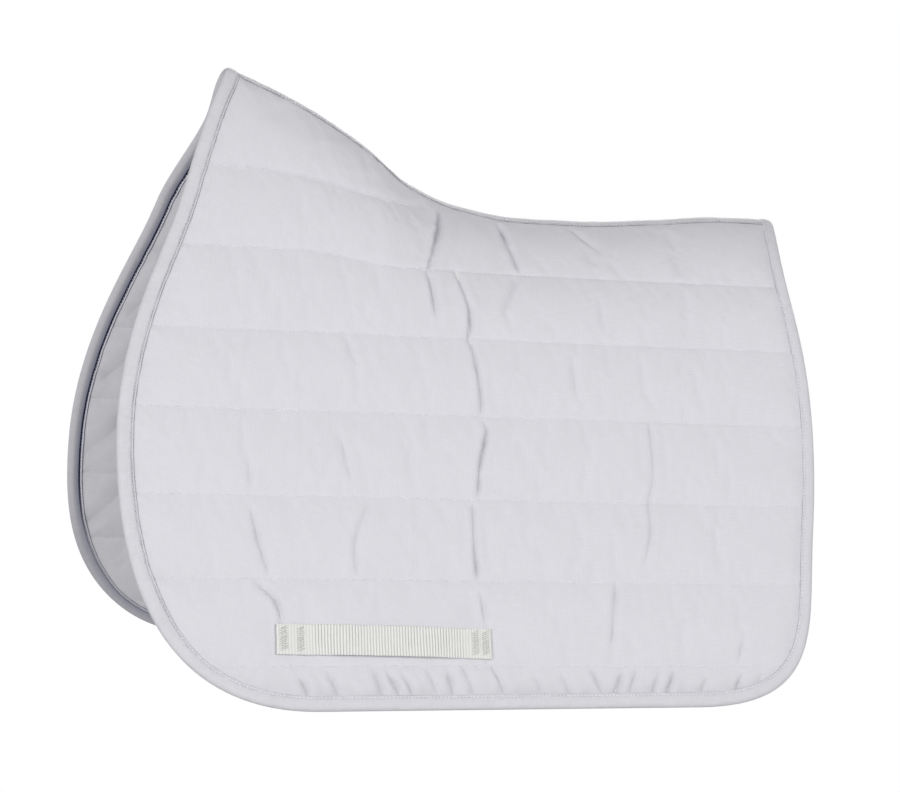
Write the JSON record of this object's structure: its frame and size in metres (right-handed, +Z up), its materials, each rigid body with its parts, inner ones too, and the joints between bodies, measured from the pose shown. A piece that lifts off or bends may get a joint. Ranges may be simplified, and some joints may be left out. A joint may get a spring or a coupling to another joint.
{
  "type": "saddle pad",
  "caption": "Quilted saddle pad for a riding horse, with bound edges, a taped spine seam and a webbing girth keeper on each flap.",
  "frame": {"origin": "the underside of the inner spine tape, at the lowest point of the spine, in the middle plane", "axes": "+X towards the horse's tail, +Y towards the horse's right, +Z up; the withers are at -X"},
  "size_m": [0.7012, 0.4844, 0.597],
  "materials": {
    "cotton_cover": "plain woven cotton, matt, quilted",
    "cotton_lining": "plain woven cotton, matt, quilted",
    "wadding": "polyester wadding",
    "binding_tape": "woven binding tape, slight sheen",
    "webbing": "ribbed woven webbing, slight sheen",
    "thread": "polyester sewing thread"
  },
  "bodies": {
    "spine": {"front_binding_bridge": "binding_tape", "rear_binding_bridge": "binding_tape", "spine_tape_outer": "binding_tape", "spine_tape_inner": "binding_tape", "left_spine_stitch": "thread", "left_cover_arch": "cotton_cover", "left_wadding_arch": "wadding", "left_lining_arch": "cotton_lining", "left_quilt_stitch_1": "thread", "right_spine_stitch": "thread", "right_cover_arch": "cotton_cover", "right_wadding_arch": "wadding", "right_lining_arch": "cotton_lining", "right_quilt_stitch_1": "thread"},
    "left_flap": {"left_cover": "cotton_cover", "left_wadding": "wadding", "left_lining": "cotton_lining", "left_binding": "binding_tape", "left_binding_stitch": "thread", "left_quilt_stitch_2": "thread", "left_quilt_stitch_3": "thread", "left_quilt_stitch_4": "thread", "left_quilt_stitch_5": "thread", "left_quilt_stitch_6": "thread", "left_quilt_stitch_7": "thread", "left_strap_front_end": "webbing", "left_strap_rear_end": "webbing", "left_front_bar_tack_1": "thread", "left_front_bar_tack_2": "thread", "left_rear_bar_tack_1": "thread", "left_rear_bar_tack_2": "thread"},
    "right_flap": {"right_cover": "cotton_cover", "right_wadding": "wadding", "right_lining": "cotton_lining", "right_binding": "binding_tape", "right_binding_stitch": "thread", "right_quilt_stitch_2": "thread", "right_quilt_stitch_3": "thread", "right_quilt_stitch_4": "thread", "right_quilt_stitch_5": "thread", "right_quilt_stitch_6": "thread", "right_quilt_stitch_7": "thread", "right_strap_front_end": "webbing", "right_strap_rear_end": "webbing", "right_front_bar_tack_1": "thread", "right_front_bar_tack_2": "thread", "right_rear_bar_tack_1": "thread", "right_rear_bar_tack_2": "thread"},
    "left_girth_loop": {"left_girth_strap": "webbing"},
    "right_girth_loop": {"right_girth_strap": "webbing"}
  },
  "joints": [
    {"name": "left_flap_swing", "type": "hinge", "parent": "spine", "child": "left_flap", "pos_m": [-0.05, 0, 0.04], "axis": [-0.9933, 0, 0.1159], "range_deg": [-22, 65]},
    {"name": "right_flap_swing", "type": "hinge", "parent": "spine", "child": "right_flap", "pos_m": [-0.05, 0, 0.04], "axis": [0.9933, 0, -0.1159], "range_deg": [-22, 65]},
    {"name": "left_girth_loop_lift", "type": "slide", "parent": "left_flap", "child": "left_girth_loop", "axis": [0.0132, -0.9411, 0.3379], "range_m": [0, 0.012]},
    {"name": "right_girth_loop_lift", "type": "slide", "parent": "right_flap", "child": "right_girth_loop", "axis": [0.0132, 0.9411, 0.3379], "range_m": [0, 0.012]}
  ]
}
